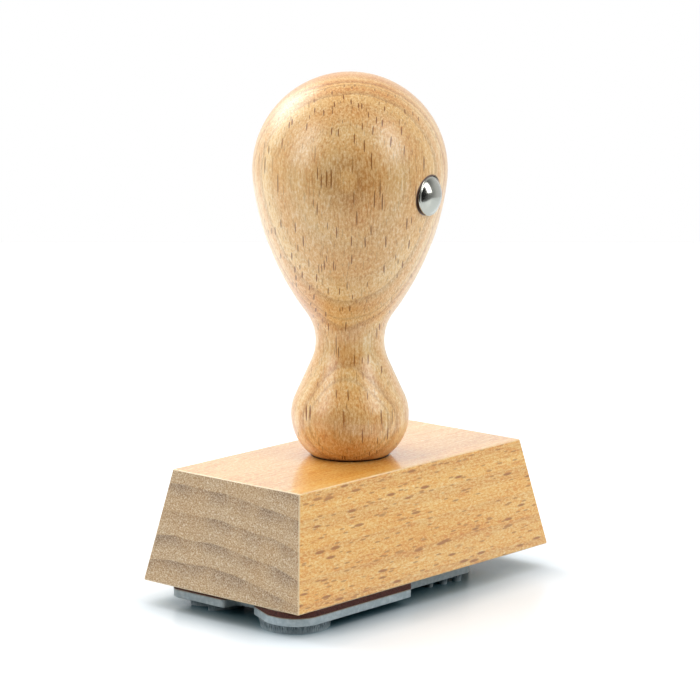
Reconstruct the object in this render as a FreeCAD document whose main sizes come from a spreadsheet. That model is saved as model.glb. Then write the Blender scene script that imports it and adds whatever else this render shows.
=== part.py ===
import FreeCAD, Part
import os
from math import acos, asin, atan2, cos, pi, radians, sin, tan

import Sketcher

# A hand stamp: a turned pear-shaped handle screwed to a bevelled wooden block, with a
# contour-cut rubber die on a foam cushion under the block and a domed nail that marks
# the front of the stamp.
#
# Frame, in millimetres: +Z up, +X along the block's long side, -Y towards the front.
# The origin is on the printing face, under the middle of the block.

Vector = FreeCAD.Vector
UP = Vector(0, 0, 1)
WHOLE_TURN = 2 * pi

document = FreeCAD.newDocument("HandStamp")

# ---------------------------------------------------------------- driving dimensions

SIZES = {
    # bevelled block
    "block_length": 63.4,
    "block_width": 34.3,
    "block_rise": 18.45,
    "end_slope": 3.85,
    "side_slope": 3.2,
    "block_round": 0.3,
    # turned handle, heights measured from its foot
    "handle_length": 63.5,
    "crown_radius": 16.0,
    "flank_radius": 46.0,
    "neck_radius": 5.7,
    "neck_height": 19.2,
    "neck_curve": 8.0,
    "bulb_radius": 9.8,
    "bulb_height": 6.9,
    "bulb_curve": 7.3,
    "foot_radius": 6.3,
    # double-ended wood screw
    "screw_core": 1.7,
    "screw_crest": 2.4,
    "screw_in_handle": 17.0,
    "screw_in_block": 13.0,
    "thread_pitch": 2.0,
    "thread_start": 1.5,
    "screw_point": 1.0,
    # marker nail on the front of the handle
    "nail_height": 44.4,
    "nail_turn": 6.5,
    "cap_seat": 15.45,
    "cap_radius": 3.25,
    "cap_rise": 1.8,
    "cap_wall": 0.4,
    "shank_radius": 0.75,
    "shank_length": 9.0,
    "shank_point": 1.5,
    # die stack, from the printing face upwards
    "relief_depth": 1.4,
    "base_depth": 1.3,
    "film_depth": 0.1,
    "cushion_depth": 0.95,
}

sizes = document.addObject("Spreadsheet::Sheet", "Sizes")
for row, (alias, value) in enumerate(SIZES.items(), start=1):
    sizes.set(f"A{row}", alias)
    sizes.set(f"B{row}", str(value))
    sizes.setAlias(f"B{row}", alias)
document.recompute()

BASE_TOP = "Sizes.relief_depth + Sizes.base_depth"
CUSHION_BOTTOM = BASE_TOP + " + Sizes.film_depth"
CUSHION_TOP = CUSHION_BOTTOM + " + Sizes.cushion_depth"
BLOCK_BOTTOM = CUSHION_TOP + " + Sizes.film_depth"
BLOCK_TOP = BLOCK_BOTTOM + " + Sizes.block_rise"

# ---------------------------------------------------------------- helpers


def new_body(label):
    body = document.addObject("PartDesign::Body", label)
    body.Label = label
    return body


def lift(body, height):
    """Stand a body at a height given as an expression of the sheet's cells."""
    body.setExpression("Placement.Base.z", height)


def origin_feature(body, role):
    return next(item for item in body.Origin.OriginFeatures if item.Role == role)


def new_sketch(body, name, role, offset=None):
    """A sketch on one of the body's own planes, moved along the plane's normal by an expression."""
    sketch = body.newObject("Sketcher::SketchObject", name)
    sketch.AttachmentSupport = [(origin_feature(body, role), "")]
    sketch.MapMode = "FlatFace"
    if offset:
        sketch.setExpression("AttachmentOffset.Base.z", offset)
    return sketch


def constrain(sketch, kind, *values):
    return sketch.addConstraint(Sketcher.Constraint(kind, *values))


def drive(sketch, kind, *values, by):
    """A dimension of the sketch that follows the sheet."""
    index = constrain(sketch, kind, *values)
    sketch.setExpression(f"Constraints[{index}]", by)


def flat(x, y):
    return Vector(x, y, 0)


def at_angle(centre, radius, angle):
    return centre + flat(radius * cos(angle), radius * sin(angle))


def arc(centre, radius, start, end):
    """A counter-clockwise arc between two angles in radians."""
    return Part.ArcOfCircle(Part.Circle(centre, UP, radius), start, end)


def bearing(start, end):
    return atan2(end.y - start.y, end.x - start.x)


def add_circle(sketch, x, y, radius, by):
    index = sketch.addGeometry(Part.Circle(flat(x, y), UP, radius))
    drive(sketch, "Radius", index, radius, by=by)
    return index


def centred_circle(sketch, radius, by):
    index = add_circle(sketch, 0, 0, radius, by)
    constrain(sketch, "Coincident", index, 3, -1, 1)


def revolve(body, name, sketch):
    turned = body.newObject("PartDesign::Revolution", name)
    turned.Profile = sketch
    turned.ReferenceAxis = (sketch, ["V_Axis"])
    turned.Angle = 360
    return turned


def pad(body, name, sketch, depth, reverse=False):
    raised = body.newObject("PartDesign::Pad", name)
    raised.Profile = sketch
    raised.setExpression("Length", depth)
    raised.Reversed = reverse
    return raised


def pocket(body, name, sketch, depth, reverse=False):
    """Cut inwards, and stop if the cut removed nothing."""
    document.recompute()
    before = body.Shape.Volume
    cut = body.newObject("PartDesign::Pocket", name)
    cut.Profile = sketch
    cut.setExpression("Length", depth)
    cut.Reversed = reverse
    document.recompute()
    if body.Shape.Volume >= before:
        raise RuntimeError(f"{name} removed nothing")
    return cut


# ---------------------------------------------------------------- bevelled block


def make_block():
    """A wedge that narrows on all four sides, with every edge softened."""
    body = new_body("mount_block")
    bevels = body.newObject("PartDesign::AdditiveWedge", "Bevels")
    # The wedge grows along its own Y, which the turn about X stands upright.
    bevels.Placement = FreeCAD.Placement(Vector(), FreeCAD.Rotation(Vector(1, 0, 0), 90))
    half_length, half_width = "Sizes.block_length / 2", "Sizes.block_width / 2"
    limits = {
        "X": half_length,
        "Z": half_width,
        "X2": half_length + " - Sizes.end_slope",
        "Z2": half_width + " - Sizes.side_slope",
    }
    for side, reach in limits.items():
        bevels.setExpression(side + "min", f"-({reach})")
        bevels.setExpression(side + "max", reach)
    bevels.setExpression("Ymin", "0")
    bevels.setExpression("Ymax", "Sizes.block_rise")
    document.recompute()
    softened = body.newObject("PartDesign::Fillet", "SoftenedEdges")
    softened.Base = (bevels, ["Edge1"])
    softened.UseAllEdges = True
    softened.setExpression("Radius", "Sizes.block_round")
    pilot = new_sketch(body, "BlockPilot", "XY_Plane", "Sizes.block_rise")
    centred_circle(pilot, sizes.screw_core, "Sizes.screw_core")
    pocket(body, "BlockPilotHole", pilot, "Sizes.screw_in_block")
    lift(body, BLOCK_BOTTOM)
    return body


# ---------------------------------------------------------------- turned handle


def tangent_angle(centre, radius, other, other_radius):
    """The direction of the normal shared by a bulging arc and a hollow one on one straight line."""
    spread = acos((radius + other_radius) / centre.distanceToPoint(other))
    toward = bearing(centre, other)
    return min(toward + spread, toward - spread, key=abs)


def flank_angle(crown, crown_radius, flank_radius, neck, neck_curve):
    """Where the flank leaves the crown so that it also meets the neck's hollow."""
    reach = flank_radius - crown_radius
    apart = crown.distanceToPoint(neck)
    cosine = (apart**2 + reach**2 - (flank_radius + neck_curve) ** 2) / (2 * reach * apart)
    toward = bearing(neck, crown)
    return min(toward + acos(cosine), toward - acos(cosine), key=abs)


def handle_profile(body):
    """Half of the turned outline: crown, flank, neck, bulb and foot, every join tangent."""
    length = sizes.handle_length
    crown_radius, flank_radius = sizes.crown_radius, sizes.flank_radius
    neck_curve, bulb_curve = sizes.neck_curve, sizes.bulb_curve
    bulb_radius, bulb_height = sizes.bulb_radius, sizes.bulb_height
    foot_radius = sizes.foot_radius
    overhang = bulb_radius - foot_radius
    heel_curve = (overhang**2 + bulb_height**2) / (2 * overhang)

    crown = flat(0, length - crown_radius)
    neck = flat(sizes.neck_radius + neck_curve, sizes.neck_height)
    bulb = flat(bulb_radius - bulb_curve, bulb_height)
    heel = flat(bulb_radius - heel_curve, bulb_height)
    shoulder = flank_angle(crown, crown_radius, flank_radius, neck, neck_curve)
    flank = at_angle(crown, crown_radius - flank_radius, shoulder)
    waist = bearing(flank, neck)
    lean = tangent_angle(bulb, bulb_curve, neck, neck_curve)
    foot = flat(foot_radius, 0)

    sketch = new_sketch(body, "HandleProfile", "XZ_Plane")
    geometry = [
        Part.LineSegment(flat(0, 0), flat(0, length)),
        arc(crown, crown_radius, shoulder, pi / 2),
        arc(flank, flank_radius, waist, shoulder),
        arc(neck, neck_curve, waist + pi, lean + pi),
        Part.LineSegment(at_angle(neck, -neck_curve, lean), at_angle(bulb, bulb_curve, lean)),
        arc(bulb, bulb_curve, 0, lean),
        arc(heel, heel_curve, bearing(heel, foot), 0),
        Part.LineSegment(foot, flat(0, 0)),
    ]
    sketch.addGeometry(geometry)
    axis, crown_arc, flank_arc, neck_arc, waist_line, bulb_arc, heel_arc, foot_line = range(8)

    constrain(sketch, "Coincident", axis, 1, -1, 1)
    constrain(sketch, "PointOnObject", axis, 2, -2)
    constrain(sketch, "Coincident", axis, 2, crown_arc, 2)
    constrain(sketch, "PointOnObject", crown_arc, 3, -2)
    constrain(sketch, "Tangent", crown_arc, 1, flank_arc, 2)
    constrain(sketch, "Tangent", flank_arc, 1, neck_arc, 1)
    constrain(sketch, "Tangent", neck_arc, 2, waist_line, 1)
    constrain(sketch, "Tangent", waist_line, 2, bulb_arc, 2)
    constrain(sketch, "Tangent", bulb_arc, 1, heel_arc, 2)
    constrain(sketch, "Horizontal", bulb_arc, 3, bulb_arc, 1)
    constrain(sketch, "Coincident", heel_arc, 1, foot_line, 1)
    constrain(sketch, "Coincident", foot_line, 2, axis, 1)
    constrain(sketch, "Horizontal", foot_line)
    drive(sketch, "DistanceY", axis, 1, axis, 2, length, by="Sizes.handle_length")
    for index, radius, alias in (
        (crown_arc, crown_radius, "crown_radius"),
        (flank_arc, flank_radius, "flank_radius"),
        (neck_arc, neck_curve, "neck_curve"),
        (bulb_arc, bulb_curve, "bulb_curve"),
    ):
        drive(sketch, "Radius", index, radius, by=f"Sizes.{alias}")
    drive(sketch, "DistanceX", neck_arc, 3, neck.x, by="Sizes.neck_radius + Sizes.neck_curve")
    drive(sketch, "DistanceY", neck_arc, 3, neck.y, by="Sizes.neck_height")
    drive(sketch, "DistanceY", bulb_arc, 3, bulb_height, by="Sizes.bulb_height")
    drive(sketch, "DistanceX", bulb_arc, 1, bulb_radius, by="Sizes.bulb_radius")
    drive(sketch, "DistanceX", foot_line, 1, foot_radius, by="Sizes.foot_radius")
    return sketch


def side_circle(body, name, radius, radius_by, offset):
    """A circle on the handle's front, at the nail's height, standing off the axis by an expression."""
    sketch = new_sketch(body, name, "XZ_Plane", offset)
    index = add_circle(sketch, 0, sizes.nail_height, radius, radius_by)
    constrain(sketch, "PointOnObject", index, 3, -2)
    drive(sketch, "DistanceY", index, 3, sizes.nail_height, by="Sizes.nail_height")
    return sketch


def make_handle():
    body = new_body("handle")
    revolve(body, "TurnedShape", handle_profile(body))
    pilot = new_sketch(body, "HandlePilot", "XY_Plane")
    centred_circle(pilot, sizes.screw_core, "Sizes.screw_core")
    pocket(body, "HandlePilotHole", pilot, "Sizes.screw_in_handle", reverse=True)
    # The plane's normal points at the front, so both cuts start on the seat of the cap:
    # one runs out of the wood and leaves a flat for the rim, the other runs in.
    seat = side_circle(body, "CapSeat", sizes.cap_radius, "Sizes.cap_radius", "Sizes.cap_seat")
    pocket(body, "CapFlat", seat, "Sizes.cap_rise", reverse=True)
    nail = side_circle(body, "NailHole", sizes.shank_radius, "Sizes.shank_radius", "Sizes.cap_seat")
    pocket(body, "NailPilotHole", nail, "Sizes.shank_length")
    lift(body, BLOCK_TOP)
    body.setExpression("Placement.Rotation.Angle", "Sizes.nail_turn")
    return body


# ---------------------------------------------------------------- dowel screw


def make_screw():
    """Double-ended wood screw. Its thread is drawn as a row of ridges, one for each turn."""
    body = new_body("dowel_screw")
    core = new_sketch(body, "ScrewCore", "XY_Plane", "-Sizes.screw_in_block")
    centred_circle(core, sizes.screw_core, "Sizes.screw_core")
    shank = pad(body, "ScrewShank", core, "Sizes.screw_in_block + Sizes.screw_in_handle")
    document.recompute()
    ends = [f"Face{index + 1}" for index, face in enumerate(shank.Shape.Faces)
            if isinstance(face.Surface, Part.Plane)]
    points = body.newObject("PartDesign::Chamfer", "ScrewPoints")
    points.Base = (shank, ends)
    points.setExpression("Size", "Sizes.screw_point")
    document.recompute()

    low = sizes.thread_start - sizes.screw_in_block
    quarter = sizes.thread_pitch / 4
    buried = sizes.screw_core - quarter
    corners = [flat(buried, low - quarter), flat(sizes.screw_crest, low), flat(buried, low + quarter)]
    ridge = new_sketch(body, "ThreadRidge", "XZ_Plane")
    for index, corner in enumerate(corners):
        ridge.addGeometry(Part.LineSegment(corner, corners[(index + 1) % 3]))
    for index in range(3):
        constrain(ridge, "Coincident", index, 2, (index + 1) % 3, 1)
    constrain(ridge, "Vertical", 2)
    drive(ridge, "DistanceX", 0, 1, buried, by="Sizes.screw_core - Sizes.thread_pitch / 4")
    drive(ridge, "DistanceX", 0, 2, sizes.screw_crest, by="Sizes.screw_crest")
    drive(ridge, "DistanceY", 0, 1, 0, 2, quarter, by="Sizes.thread_pitch / 4")
    drive(ridge, "DistanceY", 2, 2, 2, 1, 2 * quarter, by="Sizes.thread_pitch / 2")
    drive(ridge, "DistanceY", 0, 2, low, by="Sizes.thread_start - Sizes.screw_in_block")
    turned = revolve(body, "ThreadTurn", ridge)
    document.recompute()
    threaded = sizes.screw_in_block + sizes.screw_in_handle - 2 * sizes.thread_start
    turns = int(threaded / sizes.thread_pitch)
    pattern = body.newObject("PartDesign::LinearPattern", "ThreadTurns")
    pattern.Originals = [turned]
    pattern.Direction = (origin_feature(body, "Z_Axis"), [""])
    pattern.Length = turns * sizes.thread_pitch
    pattern.Occurrences = turns + 1
    body.Tip = pattern
    lift(body, BLOCK_TOP)
    return body


# ---------------------------------------------------------------- marker nail


def front_placement(body):
    """Stand a body on the cap's seat with its own Z pointing out of the handle's front."""
    turn = radians(sizes.nail_turn)
    outward = Vector(sin(turn), -cos(turn), 0)
    body.Placement = FreeCAD.Placement(Vector(), FreeCAD.Rotation(UP, outward))
    body.setExpression("Placement.Base.x", "Sizes.cap_seat * sin(Sizes.nail_turn * 1 deg)")
    body.setExpression("Placement.Base.y", "-Sizes.cap_seat * cos(Sizes.nail_turn * 1 deg)")
    lift(body, BLOCK_TOP + " + Sizes.nail_height")


def dome_radius():
    return (sizes.cap_radius**2 + sizes.cap_rise**2) / (2 * sizes.cap_rise)


def make_cap():
    """The domed shell that is felt by thumb or finger."""
    body = new_body("marker_cap")
    outer = dome_radius()
    inner = outer - sizes.cap_wall
    centre = flat(0, sizes.cap_rise - outer)
    outer_rim = asin(-centre.y / outer)
    inner_rim = asin(-centre.y / inner)
    sketch = new_sketch(body, "CapProfile", "XZ_Plane")
    sketch.addGeometry(
        [
            arc(centre, outer, outer_rim, pi / 2),
            arc(centre, inner, inner_rim, pi / 2),
            Part.LineSegment(at_angle(centre, inner, inner_rim), at_angle(centre, outer, outer_rim)),
            Part.LineSegment(at_angle(centre, inner, pi / 2), at_angle(centre, outer, pi / 2)),
        ]
    )
    constrain(sketch, "Coincident", 0, 3, 1, 3)
    constrain(sketch, "Coincident", 2, 1, 1, 1)
    constrain(sketch, "Coincident", 2, 2, 0, 1)
    constrain(sketch, "Coincident", 3, 1, 1, 2)
    constrain(sketch, "Coincident", 3, 2, 0, 2)
    constrain(sketch, "PointOnObject", 0, 3, -2)
    constrain(sketch, "PointOnObject", 1, 2, -2)
    constrain(sketch, "PointOnObject", 0, 2, -2)
    constrain(sketch, "PointOnObject", 2, 1, -1)
    constrain(sketch, "PointOnObject", 2, 2, -1)
    drive(sketch, "DistanceX", 2, 2, sizes.cap_radius, by="Sizes.cap_radius")
    drive(sketch, "DistanceY", 0, 2, sizes.cap_rise, by="Sizes.cap_rise")
    drive(sketch, "DistanceY", 3, 1, 3, 2, sizes.cap_wall, by="Sizes.cap_wall")
    revolve(body, "CapDome", sketch)
    front_placement(body)
    return body


def make_shank():
    """The pointed steel shank, its head shaped to the inside of the cap."""
    body = new_body("marker_nail")
    inner = dome_radius() - sizes.cap_wall
    centre = flat(0, sizes.cap_rise - dome_radius())
    side = acos(sizes.shank_radius / inner)
    head = at_angle(centre, inner, side)
    tip = flat(0, -sizes.shank_length)
    neck = flat(sizes.shank_radius, sizes.shank_point - sizes.shank_length)
    top = at_angle(centre, inner, pi / 2)
    sketch = new_sketch(body, "ShankProfile", "XZ_Plane")
    sketch.addGeometry(
        [
            arc(centre, inner, side, pi / 2),
            Part.LineSegment(top, tip),
            Part.LineSegment(tip, neck),
            Part.LineSegment(neck, head),
        ]
    )
    constrain(sketch, "Coincident", 0, 2, 1, 1)
    constrain(sketch, "Coincident", 1, 2, 2, 1)
    constrain(sketch, "Coincident", 2, 2, 3, 1)
    constrain(sketch, "Coincident", 3, 2, 0, 1)
    constrain(sketch, "PointOnObject", 0, 3, -2)
    constrain(sketch, "PointOnObject", 1, 1, -2)
    constrain(sketch, "PointOnObject", 1, 2, -2)
    constrain(sketch, "Vertical", 3)
    drive(sketch, "DistanceX", 3, 1, sizes.shank_radius, by="Sizes.shank_radius")
    drive(sketch, "DistanceY", 1, 2, -sizes.shank_length, by="-Sizes.shank_length")
    drive(sketch, "DistanceY", 2, 1, 2, 2, sizes.shank_point, by="Sizes.shank_point")
    drive(sketch, "DistanceY", 1, 1, top.y, by="Sizes.cap_rise - Sizes.cap_wall")
    drive(
        sketch,
        "Radius",
        0,
        inner,
        by="(Sizes.cap_radius ^ 2 + Sizes.cap_rise ^ 2) / (2 * Sizes.cap_rise) - Sizes.cap_wall",
    )
    revolve(body, "ShankTurn", sketch)
    front_placement(body)
    return body


# ---------------------------------------------------------------- die stack

# The die is cut round its pattern, so its outline has a round lobe for the flower, a
# straight front edge, a step and a notch. Each corner is x, y and the radius it is cut to.
DIE_CORNERS = (
    (-31.4, -16.75, 4.6),
    (-3.7, -16.75, 0.5),
    (-3.7, -13.6, 0.8),
    (15.5, -13.6, 1.6),
    (16.6, -7.0, 2.0),
    (27.9, -3.4, 3.0),
    (29.5, 5.6, 2.5),
    (23.6, 13.6, 3.0),
    (4.0, 14.4, 4.0),
    (-13.0, 12.0, 4.0),
    (-17.5, 14.2, 2.0),
    (-29.3, 13.6, 2.0),
    (-29.3, 1.4, 0.6),
    (-26.2, 0.8, 1.0),
    (-26.2, -3.6, 1.0),
    (-28.8, -4.8, 1.2),
    (-31.4, -10.2, 3.0),
)

# Pattern: a ringed flower in the lobe and a leafy sprig that grows from it across the die.
FLOWER = flat(-25.4, -10.7)
RING_OUTER = 5.5
RING_INNER = 4.5
FLOWER_EYE = 0.9
PETALS = 8
PETAL_ROOT = 1.5
PETAL_TIP = 3.9
PETAL_WIDTH = 1.2

STEM_CENTRE = flat(24.7, -74.3)
STEM_RADIUS = 78.3
STEM_HALF_WIDTH = 0.6
STEM_LEFT = radians(123.0)
STEM_RIGHT = radians(91.0)
LEAF_PAIRS = 7
LEAF_LEAN = radians(48.0)
LEAF_LENGTH = 7.4
LEAF_TAPER = 0.32
LEAF_WIDTH = 2.5
LEAF_GAP = 0.5

# Short sprig in the corner behind the flower: where it springs from, and its leaf tips.
CORNER_SPRIG = flat(-20.6, 3.4)
CORNER_TIPS = (flat(-28.2, 5.8), flat(-27.4, 10.4), flat(-21.2, 11.6))
CORNER_LEAF_WIDTH = 2.2
FRONT_DOTS = ((13.6, -11.9, 0.7), (10.4, -11.6, 0.6), (7.4, -11.2, 0.5))


def rounded_outline(corners):
    """Straight runs joined by tangent arcs, one arc at each corner."""
    runs, arcs = [], []
    count = len(corners)
    for index, (x, y, radius) in enumerate(corners):
        point = flat(x, y)
        before = (flat(*corners[index - 1][:2]) - point).normalize()
        after = (flat(*corners[(index + 1) % count][:2]) - point).normalize()
        half = before.getAngle(after) / 2
        inward = (before + after).normalize()
        centre = point + inward * (radius / sin(half))
        entry = point + before * (radius / tan(half))
        leave = point + after * (radius / tan(half))
        bulging = before.cross(after).z < 0
        first, last = (entry, leave) if bulging else (leave, entry)
        arcs.append(arc(centre, radius, bearing(centre, first), bearing(centre, last)))
        runs.append((entry, leave))
    for index in range(count):
        arcs.append(Part.LineSegment(runs[index][1], runs[(index + 1) % count][0]))
    return arcs


def leaf(root, tip, width):
    """A pointed leaf between two arcs."""
    half = root.distanceToPoint(tip) / 2
    radius = (half**2 + (width / 2) ** 2) / width
    middle = (root + tip) / 2
    along = (tip - root).normalize()
    side = flat(-along.y, along.x) * (radius - width / 2)
    left, right = middle - side, middle + side
    return [
        arc(left, radius, bearing(left, tip), bearing(left, root)),
        arc(right, radius, bearing(right, root), bearing(right, tip)),
    ]


def disc(centre, radius):
    return Part.Circle(centre, UP, radius)


def flower_shapes():
    shapes = [disc(FLOWER, RING_OUTER), disc(FLOWER, RING_INNER), disc(FLOWER, FLOWER_EYE)]
    for petal in range(PETALS):
        turn = WHOLE_TURN * petal / PETALS
        root = at_angle(FLOWER, PETAL_ROOT, turn)
        shapes += leaf(root, at_angle(FLOWER, PETAL_TIP, turn), PETAL_WIDTH)
    return shapes


def stem_shapes():
    """The stem is a band between two arcs, closed by a straight cut at each end."""
    outer = STEM_RADIUS + STEM_HALF_WIDTH
    inner = STEM_RADIUS - STEM_HALF_WIDTH
    shapes = [
        arc(STEM_CENTRE, outer, STEM_RIGHT, STEM_LEFT),
        arc(STEM_CENTRE, inner, STEM_RIGHT, STEM_LEFT),
    ]
    for angle in (STEM_LEFT, STEM_RIGHT):
        near, far = at_angle(STEM_CENTRE, inner, angle), at_angle(STEM_CENTRE, outer, angle)
        shapes.append(Part.LineSegment(near, far))
    return shapes


def sprig_leaves():
    """Leaves in pairs along the stem, longest in the middle, pointing away from the flower."""
    shapes = []
    for pair in range(LEAF_PAIRS):
        share = (pair + 0.6) / LEAF_PAIRS
        angle = STEM_LEFT + (STEM_RIGHT - STEM_LEFT) * share
        length = LEAF_LENGTH * (1 - LEAF_TAPER * (2 * share - 1) ** 2)
        onward = angle - pi / 2
        for side in (1, -1):
            start = at_angle(STEM_CENTRE, STEM_RADIUS + side * (STEM_HALF_WIDTH + LEAF_GAP), angle)
            tip = at_angle(start, length, onward + side * LEAF_LEAN)
            shapes += leaf(start, tip, LEAF_WIDTH)
    return shapes


def corner_leaves():
    shapes = []
    for tip in CORNER_TIPS:
        shapes += leaf(CORNER_SPRIG + (tip - CORNER_SPRIG) * 0.18, tip, CORNER_LEAF_WIDTH)
    return shapes


def front_dots():
    return [disc(flat(x, y), radius) for x, y, radius in FRONT_DOTS]


def die_outline(body, name, offset=None):
    sketch = new_sketch(body, name, "XY_Plane", offset)
    sketch.addGeometry(rounded_outline(DIE_CORNERS))
    return sketch


def make_sheet(label, depth, bottom):
    """One layer of the stack, cut to the die's outline."""
    body = new_body(label)
    pad(body, label.title().replace("_", ""), die_outline(body, f"{label}_cut"), depth)
    lift(body, bottom)
    return body


def make_die():
    body = new_body("rubber_die")
    base = die_outline(body, "DieBaseCut", "Sizes.relief_depth")
    pad(body, "DieBase", base, "Sizes.base_depth")
    relief = new_sketch(body, "DieRelief", "XY_Plane")
    relief.addGeometry(
        flower_shapes() + stem_shapes() + sprig_leaves() + corner_leaves() + front_dots()
    )
    pad(body, "DiePattern", relief, "Sizes.relief_depth")
    return body


# ---------------------------------------------------------------- build, check, write

parts = [
    make_block(),
    make_handle(),
    make_screw(),
    make_cap(),
    make_shank(),
    make_sheet("upper_adhesive", "Sizes.film_depth", CUSHION_TOP),
    make_sheet("cushion_pad", "Sizes.cushion_depth", CUSHION_BOTTOM),
    make_sheet("lower_adhesive", "Sizes.film_depth", BASE_TOP),
    make_die(),
]
document.recompute()

for item in document.Objects:
    if "Invalid" in item.State or "Error" in item.State:
        raise RuntimeError(f"{item.Name} failed: {item.State}")
for part in parts:
    if part.Shape.isNull() or not part.Shape.isValid() or len(part.Shape.Solids) != 1:
        raise RuntimeError(f"{part.Label} is not one valid solid")

os.makedirs("parts", exist_ok=True)
for part in parts:
    part.Shape.exportStep(f"parts/{part.Label}.step")
    size = part.Shape.BoundBox
    print(
        f"{part.Label:15s} {part.Shape.Volume:10.1f} mm3"
        f"  x {size.XMin:7.2f} {size.XMax:7.2f}"
        f"  y {size.YMin:7.2f} {size.YMax:7.2f}"
        f"  z {size.ZMin:7.2f} {size.ZMax:7.2f}"
    )
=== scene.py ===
# %% [markdown]
# # A wooden hand stamp
#
# The stamp is a turned beech handle screwed to a bevelled beech block. Under the block
# sits a sandwich of adhesive film, red-brown cushion rubber, film and laser-cut grey
# rubber, cut round its pattern. A domed nail on the handle says which side is the front.
# The wood and metal keep the shapes of the engineering model, which are right already, and
# get their finishes here. The rubber and the cushion are made again with the detail that
# a simple solid leaves out.

from math import asin, atan2, cos, pi, radians, sin

import bmesh
import bpy
import mathutils
from mathutils import Matrix, Vector


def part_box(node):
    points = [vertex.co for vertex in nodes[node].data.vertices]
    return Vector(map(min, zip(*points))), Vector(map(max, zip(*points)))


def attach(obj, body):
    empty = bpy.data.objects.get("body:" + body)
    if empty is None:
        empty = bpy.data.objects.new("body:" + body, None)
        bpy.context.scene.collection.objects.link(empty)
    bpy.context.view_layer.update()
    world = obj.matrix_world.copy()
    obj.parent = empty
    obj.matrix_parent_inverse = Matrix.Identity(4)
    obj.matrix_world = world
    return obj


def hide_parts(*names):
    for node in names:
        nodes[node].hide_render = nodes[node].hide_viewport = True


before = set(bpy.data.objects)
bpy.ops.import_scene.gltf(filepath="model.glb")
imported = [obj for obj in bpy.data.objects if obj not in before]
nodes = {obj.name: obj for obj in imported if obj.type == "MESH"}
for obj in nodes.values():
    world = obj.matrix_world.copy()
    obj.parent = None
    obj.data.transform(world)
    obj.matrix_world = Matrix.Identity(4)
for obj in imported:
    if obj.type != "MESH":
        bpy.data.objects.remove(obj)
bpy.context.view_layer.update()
MM = 0.001
UP = Vector((0, 0, 1))
print("pieces in the model:", ", ".join(sorted(nodes)))

# %% [markdown]
# ## Camera
#
# A long lens from well back keeps the block's edges nearly parallel, the way a product
# picture does. The camera stands to the left of the stamp's front and a little above it.

# %% Camera
CAMERA_TURN = radians(-48.68)
CAMERA_RISE = radians(10.47)
CAMERA_DISTANCE = 546.3 * MM
LOOK_AT = Vector((0, 0, 39.8 * MM))
LENS = 170.1

back = Vector(
    (
        sin(CAMERA_TURN) * cos(CAMERA_RISE),
        -cos(CAMERA_TURN) * cos(CAMERA_RISE),
        sin(CAMERA_RISE),
    )
)
camera = bpy.data.objects.new("camera", bpy.data.cameras.new("camera"))
bpy.context.scene.collection.objects.link(camera)
camera.data.lens = LENS
camera.data.sensor_width = 36
camera.location = LOOK_AT + back * CAMERA_DISTANCE
camera.rotation_mode = "QUATERNION"
camera.rotation_quaternion = (-back).to_track_quat("-Z", "Y")
bpy.context.scene.camera = camera
print("camera stands at (mm):", [round(part / MM) for part in camera.location])

# %% [markdown]
# ## Stage and light
#
# The stamp stands on glossy white board in a white tent. Soft boxes light it from the
# left, the right and behind, so the lacquer shows a soft streak on each side of the handle
# and a bright rim. A fourth, from above, whitens the board. The tent is darker on the
# camera's side, and that is what keeps the middle of the handle rich in colour.

# %% Stage
bpy.context.scene.view_settings.view_transform = "Standard"


def put_in_scene(name, mesh):
    piece = bpy.data.objects.new(name, mesh)
    bpy.context.scene.collection.objects.link(piece)
    return piece


def flat_board(name, ahead, near, far, half_width):
    """A level board that starts near metres ahead of the stamp and ends far metres behind."""
    sideways = Vector((-ahead.y, ahead.x, 0))
    mesh = bpy.data.meshes.new(name)
    corners = [(near, half_width), (-far, half_width), (-far, -half_width), (near, -half_width)]
    points = [ahead * along + sideways * across for along, across in corners]
    mesh.from_pydata(points, [], [(0, 1, 2, 3)])
    return put_in_scene(name, mesh)


def add(tree, kind, feeds=None, **values):
    """A new node of a tree, its inputs fed from sockets or set to values."""
    node = tree.nodes.new(kind)
    for key, value in values.items():
        if key in node.inputs:
            node.inputs[key].default_value = value
        else:
            setattr(node, key, value)
    for key, source in (feeds or {}).items():
        target = node.inputs[key]
        if isinstance(source, bpy.types.NodeSocket):
            tree.links.new(source, target)
        else:
            target.default_value = source
    return node


def wire(*parts, **values):
    """The first output of a new node."""
    return add(*parts, **values).outputs[0]


def new_material(name):
    """A material with a Principled shader. Gives the material, its tree and the shader."""
    material = bpy.data.materials.new(name)
    material.use_nodes = True
    tree = material.node_tree
    shader = next(n for n in tree.nodes if n.type == "BSDF_PRINCIPLED")
    return material, tree, shader


# The board stops short of the camera, so the nail's cap mirrors the dark end of the tent.
BOARD_NEAR, BOARD_FAR, BOARD_HALF_WIDTH = 0.13, 0.38, 0.36
board = flat_board(
    "floor", Vector((back.x, back.y, 0)).normalized(), BOARD_NEAR, BOARD_FAR, BOARD_HALF_WIDTH
)
board_paint, board_tree, board_shader = new_material("white_gloss_board")
# Painted shade: where ambient occlusion finds the board closed in by the stamp, its colour turns from
# white to deep blue-green.
SHADE_REACH = 9 * MM
painted_shade_occlusion = add(board_tree, "ShaderNodeAmbientOcclusion", Distance=SHADE_REACH)
board_white_and_painted_shade = add(
    board_tree,
    "ShaderNodeMix",
    {"Factor": painted_shade_occlusion.outputs["AO"]},
    data_type="RGBA",
)
# The first colour is the painted shade, the second the open board.
board_white_and_painted_shade.inputs[6].default_value = (0.0, 0.10, 0.14, 1)
board_white_and_painted_shade.inputs[7].default_value = (0.90, 0.95, 0.985, 1)
board_tree.links.new(board_white_and_painted_shade.outputs[2], board_shader.inputs["Base Color"])
board_shader.inputs["Roughness"].default_value = 0.22
board.data.materials.append(board_paint)

# %% [markdown]
# ### Light
#
# A soft box is an area light, and a bigger one makes softer shadows. Each is placed by its
# bearing and rise from the middle of the stamp, and turned to face it. The tent is the
# world's background. What it shows to the camera is plain white, and what it gives to the
# wood and the metal is shaped by direction.

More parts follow.
